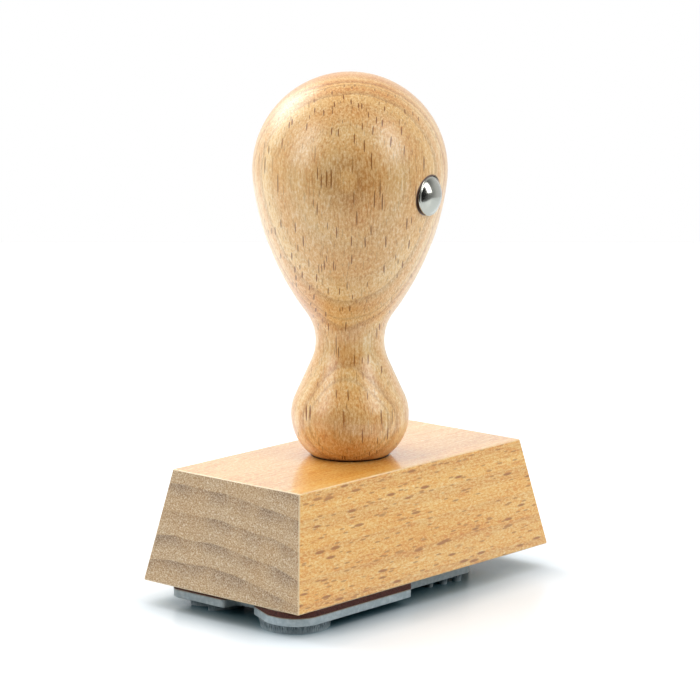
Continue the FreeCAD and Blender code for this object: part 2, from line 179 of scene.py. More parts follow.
# %% Light
SOFT_BOXES = (
    # name, bearing from the stamp's front and rise (degrees), distance, width and height
    # (metres), power (watts), and whether the gloss shows it
    ("right_box", 10.0, 34.0, 0.75, 0.30, 0.55, 2.6, True),
    ("left_box", -110.0, 30.0, 0.75, 0.32, 0.60, 2.6, True),
    ("rim_box", 176.0, 36.0, 0.75, 0.40, 0.40, 2.2, True),
    ("top_box", 150.0, 80.0, 0.80, 1.20, 1.20, 6.6, False),
)

for name, turn, rise, distance, width, height, power, in_gloss in SOFT_BOXES:
    turn, rise = radians(turn), radians(rise)
    away = Vector((sin(turn) * cos(rise), -cos(turn) * cos(rise), sin(rise)))
    box = bpy.data.objects.new(name, bpy.data.lights.new(name, "AREA"))
    bpy.context.scene.collection.objects.link(box)
    box.data.shape = "RECTANGLE"
    box.data.size = width
    box.data.size_y = height
    box.data.energy = power
    box.location = LOOK_AT + away * distance
    box.rotation_mode = "QUATERNION"
    box.rotation_quaternion = (-away).to_track_quat("-Z", "Y")
    box.visible_camera = False
    box.visible_glossy = in_gloss

# How bright the tent is in each direction: behind the stamp, beside it, and at the camera.
TENT_SIDES = ((0.0, 1.0), (0.36, 0.92), (0.56, 0.55), (0.80, 0.25), (0.91, 0.02))
# The roof is dimmer than the walls.
ROOF_START, ROOF_END, ROOF_LIGHT = 0.35, 0.85, 0.42

world = bpy.data.worlds.new("white_tent")
bpy.context.scene.world = world
world.use_nodes = True
tent = world.node_tree
tent.nodes.clear()
direction = wire(tent, "ShaderNodeTexCoord")
toward_camera = add(
    tent, "ShaderNodeVectorMath", {0: direction, 1: back}, operation="DOT_PRODUCT"
).outputs["Value"]
around = wire(
    tent, "ShaderNodeMapRange", {"Value": toward_camera, "From Min": -1.0, "From Max": 1.0}
)
walls = add(tent, "ShaderNodeValToRGB", {"Fac": around})
for index, (position, level) in enumerate(TENT_SIDES):
    steps = walls.color_ramp.elements
    step = steps[index] if index < 2 else steps.new(position)
    step.position = position
    step.color = (level, level, level, 1)
overhead = wire(
    tent,
    "ShaderNodeMapRange",
    {
        "Value": add(tent, "ShaderNodeSeparateXYZ", {"Vector": direction}).outputs["Z"],
        "From Min": ROOF_START,
        "From Max": ROOF_END,
        "To Min": 1.0,
        "To Max": ROOF_LIGHT,
    },
    interpolation_type="SMOOTHSTEP",
)
tent_light = wire(
    tent, "ShaderNodeMath", {0: walls.outputs["Color"], 1: overhead}, operation="MULTIPLY"
)
inside = wire(tent, "ShaderNodeBackground", {"Strength": tent_light}, Color=(0.96, 0.98, 1.0, 1))
seen = wire(tent, "ShaderNodeBackground", Color=(1, 1, 1, 1), Strength=1.0)
straight_to_camera = wire(tent, "ShaderNodeLightPath")
tent_mix = wire(tent, "ShaderNodeMixShader", {0: straight_to_camera, 1: inside, 2: seen})
add(tent, "ShaderNodeOutputWorld", {"Surface": tent_mix})
print("soft boxes:", len(SOFT_BOXES))

# %% [markdown]
# ## Beech
#
# Beech is a pale, even wood. Up close it has three marks: growth rings, which show as
# quiet bands; fine fibres along the grain; and rays, which show as short dark dashes on a
# face cut along the grain. All three are solid: they run through the wood, and the surface
# only cuts them. So the pattern is built from the wood's own directions (along the grain,
# outward from the heart of the tree, and across), and the same recipe then gives dashes
# on the sides, dots and ring arcs on sawn ends, and nested arcs where the lathe cut
# through the rings on the handle's dome.

# %% [markdown]
# ### Working with shader nodes
#
# A material is a chain of small sums. Written out one node at a time it is hard to read,
# so each kind of sum gets a short name here, and a recipe below reads like arithmetic.

# %% Working with shader nodes


def scaled(tree, vector, factors):
    return wire(tree, "ShaderNodeVectorMath", {0: vector, 1: factors}, operation="MULTIPLY")


def reckon(tree, operation, first, second=0.0, third=0.0):
    return wire(tree, "ShaderNodeMath", {0: first, 1: second, 2: third}, operation=operation)


def dot(tree, first, second):
    node = add(tree, "ShaderNodeVectorMath", {0: first, 1: second}, operation="DOT_PRODUCT")
    return node.outputs["Value"]


def length_of(tree, vector):
    return add(tree, "ShaderNodeVectorMath", {0: vector}, operation="LENGTH").outputs["Value"]


def away_from(tree, place, centre):
    return wire(tree, "ShaderNodeVectorMath", {0: place, 1: centre}, operation="SUBTRACT")


def facing(tree, way):
    """How squarely the surface faces a direction or its opposite, from 0 to 1."""
    normal = add(tree, "ShaderNodeTexCoord").outputs["Normal"]
    return reckon(tree, "ABSOLUTE", dot(tree, normal, Vector(way).normalized()))


def ramped(tree, value, low, high, to_low=0.0, to_high=1.0):
    """A smooth step from one value to another."""
    limits = {"From Min": low, "From Max": high, "To Min": to_low, "To Max": to_high}
    return wire(
        tree, "ShaderNodeMapRange", {"Value": value, **limits}, interpolation_type="SMOOTHSTEP"
    )


def blended(tree, share, first, second):
    """A mix of two colours. A share of 1 gives the second."""
    node = add(tree, "ShaderNodeMix", data_type="RGBA")
    for socket, source in ((0, share), (6, first), (7, second)):
        if isinstance(source, bpy.types.NodeSocket):
            tree.links.new(source, node.inputs[socket])
        else:
            node.inputs[socket].default_value = source
    return node.outputs[2]


def deepened(tree, colour, power):
    """A power above 1 deepens a colour as it darkens it, as oil does in an open fibre."""
    return wire(tree, "ShaderNodeGamma", {"Color": colour, "Gamma": power})


def noise(tree, vector, scale, detail=2.0, roughness=0.5):
    return wire(
        tree, "ShaderNodeTexNoise", {"Vector": vector}, Scale=scale, Detail=detail, Roughness=roughness
    )


def in_mm(tree):
    """The point on the piece, in millimetres."""
    return scaled(tree, add(tree, "ShaderNodeTexCoord").outputs["Object"], (1 / MM,) * 3)


print("a millimetre in the scene's units:", MM)

# %% [markdown]
# ### Directions in the wood
#
# A pattern that follows the grain needs its own directions. Turning the point first, and
# then squeezing it along the grain, draws every mark out into a streak.

# %% Directions in the wood
# Colour of the painted shadow in the gaps where another piece sits on the wood.
GAP_SHADOW_COLOUR = (0.085, 0.03, 0.012, 1)
# How much slower each part of the pattern changes along the grain than across it.
DRIFT_STRETCH = (1, 1, 0.25)
CLOUD_STRETCH = (1, 1, 0.18)
FIBRE_STRETCH = (1, 1, 0.035)
SPECKLE_STRETCH = (1, 1, 0.45)
PATCH_STRETCH = (1, 1, 0.6)
SMALL_DASH_PACE = 1.7


def in_grain(tree, place, along, outward, drift):
    """The point as (across, outward, along) the grain, in millimetres. Wood is never quite
    straight, so a slow drift bends the rings and the dashes a little."""
    along = Vector(along).normalized()
    outward = Vector(outward)
    outward = (outward - along * outward.dot(along)).normalized()
    across = outward.cross(along)
    turned = wire(
        tree,
        "ShaderNodeMapping",
        {"Vector": place},
        Scale=(1 / MM, 1 / MM, 1 / MM),
        Rotation=Matrix((across, outward, along)).to_euler(),
    )
    bends = add(
        tree, "ShaderNodeTexNoise", {"Vector": scaled(tree, turned, DRIFT_STRETCH)}, Scale=0.11
    ).outputs["Color"]
    bends = scaled(tree, bends, drift)
    return wire(tree, "ShaderNodeVectorMath", {0: turned, 1: bends}, operation="ADD")


print("a fibre's length over its width:", round(1 / FIBRE_STRETCH[2]))

# %% [markdown]
# ### Years and rays
#
# Even rings look like a target. Real years differ, so a list gives each year's end and
# darkness, and a colour ramp holds the list. The dashes are cells of a Voronoi texture,
# kept only near each cell's middle.

# %% Years and rays


def year_rings(tree, radius, look):
    """1 at the dark end of each year. Each year in the list has its end (mm) and how dark it
    is, and the years repeat after the last. Year 0 starts at a known radius."""
    cycle = look["years"][-1][0]
    years_passed = reckon(
        tree, "MULTIPLY_ADD", radius, 1 / cycle, 1 - (look["first_year_at"] / cycle) % 1
    )
    calendar = add(tree, "ShaderNodeValToRGB", {"Fac": reckon(tree, "FRACT", years_passed)})
    steps = calendar.color_ramp.elements
    steps[0].color = steps[1].color = (0, 0, 0, 1)
    steps[1].position = 0.001
    year_start = 0.0
    for year_end, darkness in look["years"]:
        fade = year_end - (year_end - year_start) * look["late_wood"]
        for distance, level in ((fade, 0.0), (year_end - 0.18, darkness), (year_end - 0.01, 0.0)):
            step = steps.new(distance / cycle)
            step.color = (level, level, level, 1)
        year_start = year_end
    return calendar.outputs["Color"]


def ray_dashes(tree, grain, outward, look):
    """Large and small dashes. Rays run outward, so a surface that faces outward cuts them
    across, and one that faces sideways cuts them along."""
    cells = scaled(tree, grain, look["dash_cells"])
    core, rim = look["dash_core"], look["dash_rim"]
    large = add(tree, "ShaderNodeTexVoronoi", {"Vector": cells}, Scale=1.0)
    luck = wire(tree, "ShaderNodeSeparateColor", {"Color": large.outputs["Color"]})
    large = ramped(tree, large.outputs["Distance"], core, rim, 1.0, 0.0)
    large = reckon(tree, "MULTIPLY", ramped(tree, luck, 0.05, 0.45), large)
    small = wire(tree, "ShaderNodeTexVoronoi", {"Vector": cells}, Scale=SMALL_DASH_PACE)
    small = ramped(tree, small, core, rim, look["small_dashes"], 0.0)
    dashes = reckon(tree, "MAXIMUM", large, small)
    shown = ramped(tree, facing(tree, outward), 0.15, 0.6, look["dash_side"], look["dash_face"])
    return reckon(tree, "MULTIPLY", dashes, shown)


print("small dashes for each large one, along a line:", SMALL_DASH_PACE)

# %% [markdown]
# ### Tinted patches, sawn ends and painted shadow
#
# Three things break the pattern: a patch of deeper colour, partly painted shade, a sawn end with its
# open pores, and painted shadow where another piece sits.

# %% Tinted patches, sawn ends and painted shadow


def tint_and_shade_patch(tree, grain, cloud, spot, reach, strength):
    """A patch of deeper colour round a spot, with its edge broken up by the cloud. It serves as tint,
    and also as painted shade.
    """
    off_spot = length_of(tree, scaled(tree, away_from(tree, grain, spot), PATCH_STRETCH))
    off_spot = reckon(tree, "MULTIPLY_ADD", cloud, reach, off_spot)
    return ramped(tree, off_spot, reach * 0.5, reach * 1.4, strength, 0.0)


def end_grain(tree, pore, cloud, ring_line, look):
    """The colour of a sawn end: darker rings and open pores."""
    rings = reckon(tree, "MULTIPLY", ring_line, look["end_rings"])
    colour = blended(tree, rings, look["end_colour"], look["end_ring_colour"])
    colour = blended(tree, ramped(tree, cloud, 0.35, 0.68, 0, 0.6), colour, look["end_warm"])
    speckle = look["end_speckle"]
    return deepened(tree, colour, ramped(tree, pore, 0.28, 0.72, 1 + speckle, 1 - speckle))


def painted_shadow_under(tree, place, centre, axis, radius, fade):
    """1 within a radius (mm) of an axis, where another piece covers the wood, then a fade: the mask of a
    painted shadow in the gap round that piece.
    """
    off_axis = wire(
        tree,
        "ShaderNodeVectorMath",
        {0: away_from(tree, place, centre), 1: axis},
        operation="CROSS_PRODUCT",
    )
    return ramped(tree, length_of(tree, off_axis), radius * MM, (radius + fade) * MM, 1.0, 0.0)


# The colour of the painted gap shadow.
print("painted gap shadow colour:", GAP_SHADOW_COLOUR[:3])

# %% [markdown]
# ### The recipe
#
# The recipe lays colour from the broadest mark to the finest: clouds, tinted years, rings,
# fibres, pores, then rays. Roughness and a slight relief come from the same fibres, and a
# clear coat over everything is the lacquer.

# %% Beech


def beech(name, look, along, outward, heart, marks, sawn_end=None, edges=None):
    """A lacquered beech. heart is where the tree's middle lies (mm), across the grain and outward. marks
    gives the painted shadow in the gaps where another piece sits. sawn_end and edges, if given, find the
    end grain and the softened edges, which get a painted highlight."""
    material, tree, shader = new_material(name)
    place = add(tree, "ShaderNodeTexCoord").outputs["Object"]
    grain = in_grain(tree, place, along, outward, look["drift"])
    radius = length_of(tree, scaled(tree, away_from(tree, grain, (*heart, 0.0)), (1, 1, 0)))
    ring_line = year_rings(tree, radius, look)
    ring_tint = noise(
        tree, wire(tree, "ShaderNodeCombineXYZ", {"X": radius}), look["tint_pace"], 1.0
    )
    cloud = noise(tree, scaled(tree, grain, CLOUD_STRETCH), 0.16, 2.0)
    fibre = noise(tree, scaled(tree, grain, FIBRE_STRETCH), 3.6, 3.0, 0.62)
    speckle = noise(tree, scaled(tree, grain, SPECKLE_STRETCH), 3.6, 2.0, 0.8)
    dashes = ray_dashes(tree, grain, outward, look)

    base = blended(tree, ramped(tree, cloud, 0.35, 0.68), look["pale"], look["warm"])
    tint = ramped(tree, ring_tint, 0.38, 0.66, 0.0, look["tint"])
    base = blended(tree, tint, base, look["amber"])
    # Patches of deeper amber round given spots. On the handle, the one in the middle of the head is
    # partly painted shade.
    for spot, reach, strength in look["tint_and_shade_patches"]:
        base = blended(tree, tint_and_shade_patch(tree, grain, cloud, spot, reach, strength), base, look["amber"])
    rings = reckon(tree, "MULTIPLY", ring_line, look["ring_depth"])
    base = blended(tree, rings, base, look["ring_colour"])
    depth = look["fibre_depth"]
    fibre_shade = ramped(tree, fibre, 0.3, 0.7, 1.0 + depth, 1.0 - depth / 2)
    depth = look["speckle"]
    speckle_shade = ramped(tree, speckle, 0.3, 0.7, 1.0 + depth, 1.0 - depth)
    # Where the fibres meet the surface end on, they drink more lacquer and turn deeper.
    sink = ramped(tree, facing(tree, along), 0.45, 0.95, 1.0, 1.0 + look["end_sink"])
    shade = reckon(tree, "MULTIPLY", reckon(tree, "MULTIPLY", fibre_shade, speckle_shade), sink)
    base = deepened(tree, base, shade)
    pore_line = ramped(tree, fibre, 0.30, 0.44, look["pore_lines"], 0.0)
    base = blended(tree, pore_line, base, look["ring_colour"])
    dash_share = reckon(tree, "MULTIPLY", dashes, look["dash_depth"])
    base = blended(tree, dash_share, base, look["dash_colour"])
    rough = ramped(tree, fibre, 0.3, 0.7, look["rough"] + 0.05, look["rough"] - 0.04)
    height = reckon(tree, "SUBTRACT", reckon(tree, "MULTIPLY", fibre, 0.35), dashes)
    height = reckon(tree, "ADD", height, reckon(tree, "MULTIPLY", speckle, 0.25))

    if sawn_end:
        end = sawn_end(tree, place)
        pore = noise(tree, grain, 4.2, 3.0, 0.8)
        base = blended(tree, end, base, end_grain(tree, pore, cloud, ring_line, look))
        rough = reckon(tree, "MULTIPLY_ADD", end, look["end_rough"] - look["rough"], rough)
        height = reckon(tree, "MULTIPLY_ADD", reckon(tree, "MULTIPLY", end, pore), 2.0, height)
    if edges:
        # A painted highlight on the softened edges.
        base = blended(tree, edges(tree), base, look["edge_highlight_colour"])
    # Painted shadow in the gaps where another piece sits.
    base = blended(tree, marks(tree, place), base, GAP_SHADOW_COLOUR)

    relief = wire(
        tree, "ShaderNodeBump", {"Height": height}, Strength=look["bump"], Distance=0.03 * MM
    )
    tree.links.new(base, shader.inputs["Base Color"])
    tree.links.new(rough, shader.inputs["Roughness"])
    tree.links.new(relief, shader.inputs["Normal"])
    shader.inputs["Coat Weight"].default_value = look["coat"]
    shader.inputs["Coat Roughness"].default_value = look["coat_rough"]
    shader.inputs["Coat IOR"].default_value = look["coat_ior"]
    shader.inputs["IOR"].default_value = 1.48
    print(name, "nodes:", len(tree.nodes))
    return material


# %% [markdown]
# ### The block
#
# The block is sawn from a board with its grain along the length. Its rings are nearly
# flat, because the heart of the tree was far below it, and they sink towards the front.
# Its sawn ends take the lacquer deeper, so they are greyer and duller than the sides. The
# ends are found by their place: everything within a hair of the two sloping end planes.

# %% Finish of the block
BLOCK_LOW, BLOCK_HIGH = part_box("mount_block")
# The corner that the softened edge has taken off is just past the block's box.
BLOCK_HALF_LENGTH = BLOCK_HIGH.x / MM + 0.07
BLOCK_RISE = (BLOCK_HIGH.z - BLOCK_LOW.z) / MM
END_SLOPE = 3.85 / BLOCK_RISE
SIDE_SLOPE = 3.2 / BLOCK_RISE
END_SKIN = (0.16, 0.05)


def block_end(tree, place):
    """1 on the two sawn ends and 0 elsewhere."""
    place = scaled(tree, place, (1 / MM,) * 3)
    parts = add(tree, "ShaderNodeSeparateXYZ", {"Vector": place}).outputs
    height = reckon(tree, "SUBTRACT", parts["Z"], BLOCK_LOW.z / MM)
    reach = reckon(tree, "ABSOLUTE", parts["X"])
    reach = reckon(tree, "MULTIPLY_ADD", height, END_SLOPE, reach)
    deep, shallow = END_SKIN
    return ramped(tree, reach, BLOCK_HALF_LENGTH - deep, BLOCK_HALF_LENGTH - shallow)


# The painted shadow round the handle's foot is full to this radius (mm), then fades.
FOOT_SHADE_RADIUS = 6.47
GAP_SHADOW_FADE = 0.18


def block_gap_shadow(tree, place):
    """Painted shadow on the top round the handle's foot, standing in for the shade in the gap under it.
    """
    return painted_shadow_under(tree, place, (0, 0, BLOCK_HIGH.z), UP, FOOT_SHADE_RADIUS, GAP_SHADOW_FADE)


def block_edge_highlight(tree):
    """1 on the softened edges, where the surface faces between the ways of two faces. There the colour
    turns paler, as a painted highlight for the light the rounding catches.
    """
    normal = add(tree, "ShaderNodeTexCoord").outputs["Normal"]
    ways = wire(tree, "ShaderNodeVectorMath", {0: normal}, operation="ABSOLUTE")
    nearest = 0.0
    for face in ((1, 0, END_SLOPE), (0, 1, SIDE_SLOPE), (0, 0, 1)):
        nearest = reckon(tree, "MAXIMUM", dot(tree, ways, Vector(face).normalized()), nearest)
    return ramped(tree, nearest, 0.955, 0.992, 0.5, 0.0)


BLOCK_LOOK = {
    # The pale colour of the painted highlight on the softened edges.
    "edge_highlight_colour": (0.93, 0.76, 0.50, 1),
    "pale": (0.85, 0.505, 0.135, 1),
    "warm": (0.80, 0.42, 0.080, 1),
    "amber": (0.70, 0.32, 0.045, 1),
    "tint": 0.40,
    "tint_pace": 0.45,
    "drift": (1.3, 1.3, 1.0),
    "years": ((4.4, 0.9), (8.3, 1.0), (12.2, 0.75), (16.5, 1.0), (20.1, 0.8)),
    "first_year_at": 96.7,
    "late_wood": 0.62,
    "ring_depth": 0.26,
    "ring_colour": (0.52, 0.25, 0.08, 1),
    "dash_cells": (1.0, 0.85, 0.18),
    "dash_side": 1.0,
    "dash_face": 0.25,
    "small_dashes": 0.70,
    "pore_lines": 0.25,
    "dash_core": 0.14,
    "dash_rim": 0.27,
    "dash_depth": 1.0,
    "dash_colour": (0.38, 0.13, 0.005, 1),
    "fibre_depth": 0.26,
    "speckle": 0.42,
    "rough": 0.36,
    "coat": 1.0,
    "coat_rough": 0.14,
    "coat_ior": 1.65,
    "bump": 0.5,
    "end_sink": 0.0,
    "tint_and_shade_patches": (),
    "end_colour": (0.46, 0.31, 0.160, 1),
    "end_warm": (0.46, 0.29, 0.130, 1),
    "end_ring_colour": (0.20, 0.12, 0.060, 1),
    "end_rings": 0.8,
    "end_speckle": 0.60,
    "end_rough": 0.62,
}
beech_block = beech(
    "beech_block_lacquer",
    BLOCK_LOOK,
    along=(1, 0, 0),
    outward=(0, 0, 1),
    heart=(8.0, -92.3),
    marks=block_gap_shadow,
    sawn_end=block_end,
    edges=block_edge_highlight,
)
nodes["mount_block"].material_slots[0].material = beech_block
print("block material:", nodes["mount_block"].material_slots[0].material.name)

# %% [markdown]
# ### The handle
#
# The handle is turned from an upright stick. The heart of the tree lay behind it as the
# camera sees it, so the lathe cuts the rings open in nested arcs on the front of the dome
# and the bulb.

# %% Finish of the handle
CAP_LOW, CAP_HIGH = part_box("marker_cap")
CAP_TURN = radians(6.5)
# The painted shadow round the cap is lifted, because the cap shades the wood more above its rim, where
# it is pressed in, than below.
GAP_SHADOW_LIFT = 0.15 * MM
# Heights (mm) above the block over which the painted shadow along the foot fades.
FOOT_GAP_SHADOW = (0.12, 0.42)
CAP_RADIUS = (CAP_HIGH.z - CAP_LOW.z) / 2
CAP_CENTRE = Vector(((CAP_LOW.x + CAP_HIGH.x) / 2, CAP_LOW.y, (CAP_LOW.z + CAP_HIGH.z) / 2))
CAP_AXIS = Vector((sin(CAP_TURN), -cos(CAP_TURN), 0))


def handle_gap_shadow(tree, place):
    """Painted shadow under the nail's cap and along the foot, standing in for the shade in the gaps
    there.
    """
    rim = CAP_CENTRE + UP * GAP_SHADOW_LIFT
    nail = painted_shadow_under(tree, place, rim, CAP_AXIS, CAP_RADIUS / MM, GAP_SHADOW_FADE)
    # The axis runs on through the wood, so the mark is kept to the front half.
    parts = add(tree, "ShaderNodeSeparateXYZ", {"Vector": place}).outputs
    nail = reckon(tree, "MULTIPLY", nail, reckon(tree, "LESS_THAN", parts["Y"], 0.0))
    gap_shadow_low, gap_shadow_high = (BLOCK_HIGH.z + rise * MM for rise in FOOT_GAP_SHADOW)
    foot = ramped(tree, parts["Z"], gap_shadow_low, gap_shadow_high, 1.0, 0.0)
    return reckon(tree, "MAXIMUM", nail, foot)


HANDLE_LOOK = {
    "pale": (0.80, 0.565, 0.275, 1),
    "warm": (0.76, 0.475, 0.185, 1),
    "amber": (0.66, 0.32, 0.085, 1),
    "tint": 0.50,
    "tint_pace": 0.40,
    "drift": (1.6, 1.6, 1.0),
    "years": (
        (0.9, 0.9),
        (3.2, 1.0),
        (5.4, 0.25),
        (8.0, 0.3),
        (10.1, 0.9),
        (13.0, 0.5),
        (16.2, 0.35),
        (18.0, 1.0),
    ),
    "first_year_at": 70.0,
    "late_wood": 0.5,
    "ring_depth": 0.52,
    "ring_colour": (0.46, 0.24, 0.09, 1),
    "dash_cells": (1.8, 0.45, 0.13),
    "dash_side": 0.12,
    "dash_face": 1.0,
    "small_dashes": 0.35,
    "pore_lines": 0.45,
    "dash_core": 0.18,
    "dash_rim": 0.235,
    "dash_depth": 1.0,
    "dash_colour": (0.26, 0.085, 0.005, 1),
    "fibre_depth": 0.32,
    "speckle": 0.33,
    "end_sink": 0.35,
    # The first patch, in the middle of the head, is partly the wood's tint and partly painted shade
    # where the lacquer reflects the dark side of the tent. The second deepens the colour round a spot
    # lower down.
    "tint_and_shade_patches": (((-0.5, 15.5, 68.0), 7.0, 0.8), ((8.0, 7.0, 49.0), 7.0, 0.7)),
    "rough": 0.36,
    "coat": 0.7,
    "coat_rough": 0.33,
    "coat_ior": 1.5,
    "bump": 0.5,
}
beech_handle = beech(
    "beech_handle_lacquer",
    HANDLE_LOOK,
    along=(0.02, 0.0, 1),
    outward=(back.x, back.y, 0),
    heart=(0.0, -62.0),
    marks=handle_gap_shadow,
)
nodes["handle"].material_slots[0].material = beech_handle
print("handle material:", nodes["handle"].material_slots[0].material.name)

# %% [markdown]
# ## The metal parts
#
# Most of the metal is out of sight. A double-ended screw holds the handle to the block,
# and a nail's shank runs into the handle. Both are plain steel, and keep their shapes
# from the model. The nail's cap is the one bright thing on the stamp: a dome pressed from
# thin sheet and nickel plated. It is made again here as a turned shape, because its rolled
# rim and the slight waves of the pressing are what its reflections show.

# %% Steel and nickel


def metal(name, colour, rough, waves, wave_height):
    """A bare or plated metal. Waves are how many ripples there are in a millimetre."""
    material, tree, shader = new_material(name)
    place = in_mm(tree)
    ripple = noise(tree, place, waves, 2.0)
    wear = ramped(tree, noise(tree, place, 2.5, 3.0), 0.35, 0.7, rough, rough * 1.8)
    relief = wire(
        tree, "ShaderNodeBump", {"Height": ripple}, Strength=0.6, Distance=wave_height * MM
    )
    tree.links.new(wear, shader.inputs["Roughness"])
    tree.links.new(relief, shader.inputs["Normal"])
    shader.inputs["Base Color"].default_value = colour
    shader.inputs["Metallic"].default_value = 1.0
    return material


screw_steel = metal("screw_steel", (0.42, 0.41, 0.40, 1), 0.32, 1.2, 0.01)
nickel = metal("nickel_plate", (0.42, 0.42, 0.375, 1), 0.12, 0.45, 0.05)
for name in ("dowel_screw", "marker_nail"):
    nodes[name].material_slots[0].material = screw_steel
print("steel pieces: dowel_screw, marker_nail")

# %% [markdown]
# ### The nail's cap
#
# A turned shape is an outline swept round an axis. It could be a Screw modifier on a line,
# but here the rings of points are placed directly, so both poles close in one point.

# %% The nail's cap
CAP_RISE = 1.8 * MM
CAP_BOW = (CAP_RADIUS**2 + CAP_RISE**2) / (2 * CAP_RISE)
CAP_SEAT = (-CAP_LOW.y - CAP_BOW) / cos(CAP_TURN) + CAP_BOW - CAP_RISE
CAP_RIM = 0.22 * MM
CAP_SEGMENTS = 96


def turned_shape(name, profile, segments):
    """A closed shape turned round its own Z axis, from (radius, height) points between two poles."""
    shape = bmesh.new()
    rings = []
    for radius, height in profile:
        if radius == 0:
            rings.append([shape.verts.new((0, 0, height))])
            continue
        turns = [2 * pi * step / segments for step in range(segments)]
        rings.append(
            [shape.verts.new((radius * cos(turn), radius * sin(turn), height)) for turn in turns]
        )
    for lower, upper in zip(rings, rings[1:]):
        for step in range(segments):
            after = (step + 1) % segments
            corners = [lower[step % len(lower)], lower[after % len(lower)]]
            corners += [upper[after % len(upper)], upper[step % len(upper)]]
            shape.faces.new(dict.fromkeys(corners))
    bmesh.ops.recalc_face_normals(shape, faces=shape.faces)
    mesh = bpy.data.meshes.new(name)
    shape.to_mesh(mesh)
    shape.free()
    mesh.shade_smooth()
    return mesh


def dome_profile():
    """From the middle of the flat back, round the rolled rim, up the dome to its top."""
    points = [(0, 0), (CAP_RADIUS * 0.5, 0), (CAP_RADIUS - CAP_RIM, 0)]
    for step in range(1, 9):
        turn = -pi / 2 + pi * step / 8
        points.append(
            (CAP_RADIUS - CAP_RIM + CAP_RIM * cos(turn), CAP_RIM + CAP_RIM * sin(turn))
        )
    foot, base = CAP_RADIUS - CAP_RIM * 1.15, 1.75 * CAP_RIM
    rise = CAP_RISE - base
    bow = (foot**2 + rise**2) / (2 * rise)
    spread = asin(foot / bow)
    for step in range(1, 25):
        turn = spread * (1 - step / 24)
        points.append((bow * sin(turn), base + rise - bow + bow * cos(turn)))
    points[-1] = (0, CAP_RISE)
    return points


cap = put_in_scene("nail_cap", turned_shape("nail_cap", dome_profile(), CAP_SEGMENTS))
cap_middle = Vector((0, 0, CAP_CENTRE.z)) + CAP_AXIS * CAP_SEAT
upright_to_cap = CAP_AXIS.to_track_quat("Z", "Y").to_matrix().to_4x4()
cap.data.transform(Matrix.Translation(cap_middle) @ upright_to_cap)
cap.data.materials.append(nickel)
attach(cap, "root")
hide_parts("marker_cap")
print("cap diameter in mm:", round(2 * CAP_RADIUS / MM, 2))

# %% [markdown]
# ## The sheets under the block
#
# Four sheets are stacked under the block and cut to one outline: film, cushion, film and
# rubber. The outline is read from the model, as the edge of the rubber's flat back, so
# every sheet made here follows the same line as its solid. The films keep their shapes.

# %% Outline of the sheets
RUBBER_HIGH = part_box("rubber_die")[1]
CUSHION_LOW, CUSHION_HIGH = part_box("cushion_pad")


def sheet_outline(node, height):
    """The edge of a sheet's flat face at a height, as points in order round it."""
    sheet = bmesh.new()
    sheet.from_mesh(nodes[node].data)
    bmesh.ops.remove_doubles(sheet, verts=sheet.verts, dist=0.002 * MM)
    flat = {
        face for face in sheet.faces if all(abs(v.co.z - height) < 0.01 * MM for v in face.verts)
    }
    rim = [edge for edge in sheet.edges if sum(face in flat for face in edge.link_faces) == 1]
    neighbours = {}
    for edge in rim:
        first, second = edge.verts
        neighbours.setdefault(first, []).append(second)
        neighbours.setdefault(second, []).append(first)
    start = min(neighbours, key=lambda v: (v.co.x, v.co.y))
    walked, here, before = [], start, None
    while here is not start or not walked:
        walked.append(Vector(here.co.xy))
        onward = next(v for v in neighbours[here] if v is not before)
        here, before = onward, here
    sheet.free()
    area = sum(a.cross(b) for a, b in zip(walked, walked[1:] + walked[:1]))
    return walked if area > 0 else walked[::-1]


def evenly_spaced(points, spacing):
    """The same closed outline with points at an even spacing."""
    closed = points + points[:1]
    lengths = [(b - a).length for a, b in zip(closed, closed[1:])]
    whole = sum(lengths)
    count = max(8, round(whole / spacing))
    spaced, index, passed = [], 0, 0.0
    for step in range(count):
        target = whole * step / count
        while passed + lengths[index] < target:
            passed += lengths[index]
            index += 1
        share = (target - passed) / lengths[index]
        spaced.append(closed[index].lerp(closed[index + 1], share))
    return spaced


def outward_normals(points):
    """The outward direction at each point of an outline that runs anticlockwise."""
    normals = []
    for index, point in enumerate(points):
        along = points[(index + 1) % len(points)] - points[index - 1]
        normals.append(Vector((along.y, -along.x)).normalized())
    return normals


die_outline = sheet_outline("rubber_die", RUBBER_HIGH.z)
round_trip = sum((b - a).length for a, b in zip(die_outline, die_outline[1:] + die_outline[:1]))
print("outline points:", len(die_outline), "length in mm:", round(round_trip / MM, 1))

# %% [markdown]
# ### Sheets with a worked edge
#
# Every sheet is the outline repeated at a few heights, with its points moved in or out.
# That gives a bulge, cut cells or a sloping shoulder from one function.

# %% Sheets with a worked edge
SHARP_EDGE = radians(35)


def finished(shape, name):
    """A closed shape as a mesh: faces outward, smooth but for its sharp edges."""
    bmesh.ops.recalc_face_normals(shape, faces=shape.faces)
    for face in shape.faces:
        face.smooth = True
    for edge in shape.edges:
        edge.smooth = edge.calc_face_angle(0) < SHARP_EDGE
    mesh = bpy.data.meshes.new(name)
    shape.to_mesh(mesh)
    shape.free()
    return mesh


def banked_sheet(name, outline, levels, reach):
    """A closed sheet. Its wall has a ring of points at each level, moved outward by
    reach(point, level, share of the way up, number of the point)."""
    sheet = bmesh.new()
    normals = outward_normals(outline)
    rings = []
    for index, level in enumerate(levels):
        share = index / (len(levels) - 1)
        ring = []
        for step, (point, normal) in enumerate(zip(outline, normals)):
            moved = point + normal * reach(point, level, share, step)
            ring.append(sheet.verts.new((moved.x, moved.y, level)))
        rings.append(ring)
    count = len(outline)
    for lower, upper in zip(rings, rings[1:]):
        for step in range(count):
            after = (step + 1) % count
            sheet.faces.new((lower[step], lower[after], upper[after], upper[step]))
    lids = [sheet.faces.new(rings[0][::-1]), sheet.faces.new(rings[-1])]
    bmesh.ops.triangulate(sheet, faces=lids)
    return finished(sheet, name)

